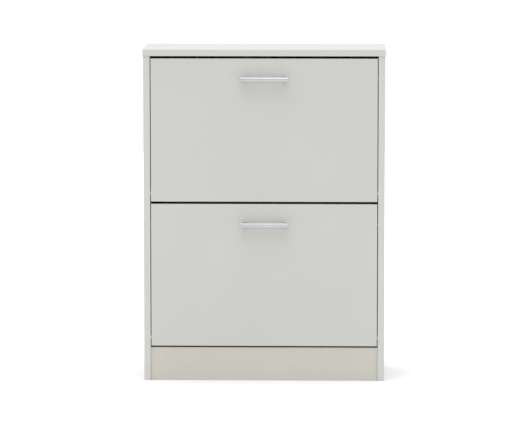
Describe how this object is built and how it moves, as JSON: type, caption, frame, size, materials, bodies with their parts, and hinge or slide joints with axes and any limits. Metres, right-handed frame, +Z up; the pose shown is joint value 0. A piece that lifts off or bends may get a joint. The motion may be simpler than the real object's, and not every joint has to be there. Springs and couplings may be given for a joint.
{
  "type": "shoe cabinet",
  "caption": "Narrow upright shoe cabinet with inset tilting flaps, one above the other, each with a bar handle and a shoe rack behind it, over a plinth.",
  "frame": {"origin": "on the floor, under the middle of the closed cabinet's box, handles included", "axes": "+Z up, the front faces -Y, +X is to the right of someone facing the front"},
  "size_m": [0.6, 0.263, 0.825],
  "materials": {
    "melamine": "pale grey-white melamine on particleboard, satin",
    "plinth_melamine": "pale warm grey melamine on particleboard, satin",
    "hardboard": "bare brown hardboard",
    "rack_board": "pale lacquered hardboard",
    "rack_plastic": "pale moulded plastic, fine texture",
    "nylon": "natural white nylon",
    "satin_metal": "satin metal",
    "zinc_steel": "bright zinc plate"
  },
  "bodies": {
    "carcass": {"top_panel": "melamine", "side_panel_left": "melamine", "side_panel_right": "melamine", "base_panel": "melamine", "plinth": "plinth_melamine", "middle_rail": "melamine", "back_board_upper": "hardboard", "back_board_lower": "hardboard", "wall_bracket": "zinc_steel", "bracket_screw": "zinc_steel", "cam_front_left": "zinc_steel", "cam_front_right": "zinc_steel", "cam_rear_left": "zinc_steel", "cam_rear_right": "zinc_steel", "cam_bolt_front_left": "zinc_steel", "cam_bolt_front_right": "zinc_steel", "cam_bolt_rear_left": "zinc_steel", "cam_bolt_rear_right": "zinc_steel", "upper_bush_left": "nylon", "upper_bush_right": "nylon", "lower_bush_left": "nylon", "lower_bush_right": "nylon", "upper_stop_peg_left": "nylon", "upper_stop_peg_right": "nylon", "lower_stop_peg_left": "nylon", "lower_stop_peg_right": "nylon"},
    "upper_flap": {"upper_front": "melamine", "upper_handle": "satin_metal", "upper_handle_screw_left": "zinc_steel", "upper_handle_screw_right": "zinc_steel", "upper_hinge_pin_left": "zinc_steel", "upper_hinge_pin_right": "zinc_steel", "upper_guide_button_left": "nylon", "upper_guide_button_right": "nylon", "upper_cheek_left": "rack_plastic", "upper_cheek_right": "rack_plastic", "upper_rack_floor": "rack_board", "upper_rack_divider": "rack_board", "upper_rack_rear": "rack_board", "upper_rack_screw_left_1": "zinc_steel", "upper_rack_screw_left_2": "zinc_steel", "upper_rack_screw_right_1": "zinc_steel", "upper_rack_screw_right_2": "zinc_steel"},
    "lower_flap": {"lower_front": "melamine", "lower_handle": "satin_metal", "lower_handle_screw_left": "zinc_steel", "lower_handle_screw_right": "zinc_steel", "lower_hinge_pin_left": "zinc_steel", "lower_hinge_pin_right": "zinc_steel", "lower_guide_button_left": "nylon", "lower_guide_button_right": "nylon", "lower_cheek_left": "rack_plastic", "lower_cheek_right": "rack_plastic", "lower_rack_floor": "rack_board", "lower_rack_divider": "rack_board", "lower_rack_rear": "rack_board", "lower_rack_screw_left_1": "zinc_steel", "lower_rack_screw_left_2": "zinc_steel", "lower_rack_screw_right_1": "zinc_steel", "lower_rack_screw_right_2": "zinc_steel"}
  },
  "joints": [
    {"name": "upper_flap_tilt", "type": "hinge", "parent": "carcass", "child": "upper_flap", "pos_m": [0, -0.0985, 0.468], "axis": [1, 0, 0], "range_deg": [0, 45]},
    {"name": "lower_flap_tilt", "type": "hinge", "parent": "carcass", "child": "lower_flap", "pos_m": [0, -0.0985, 0.107], "axis": [1, 0, 0], "range_deg": [0, 45]}
  ]
}
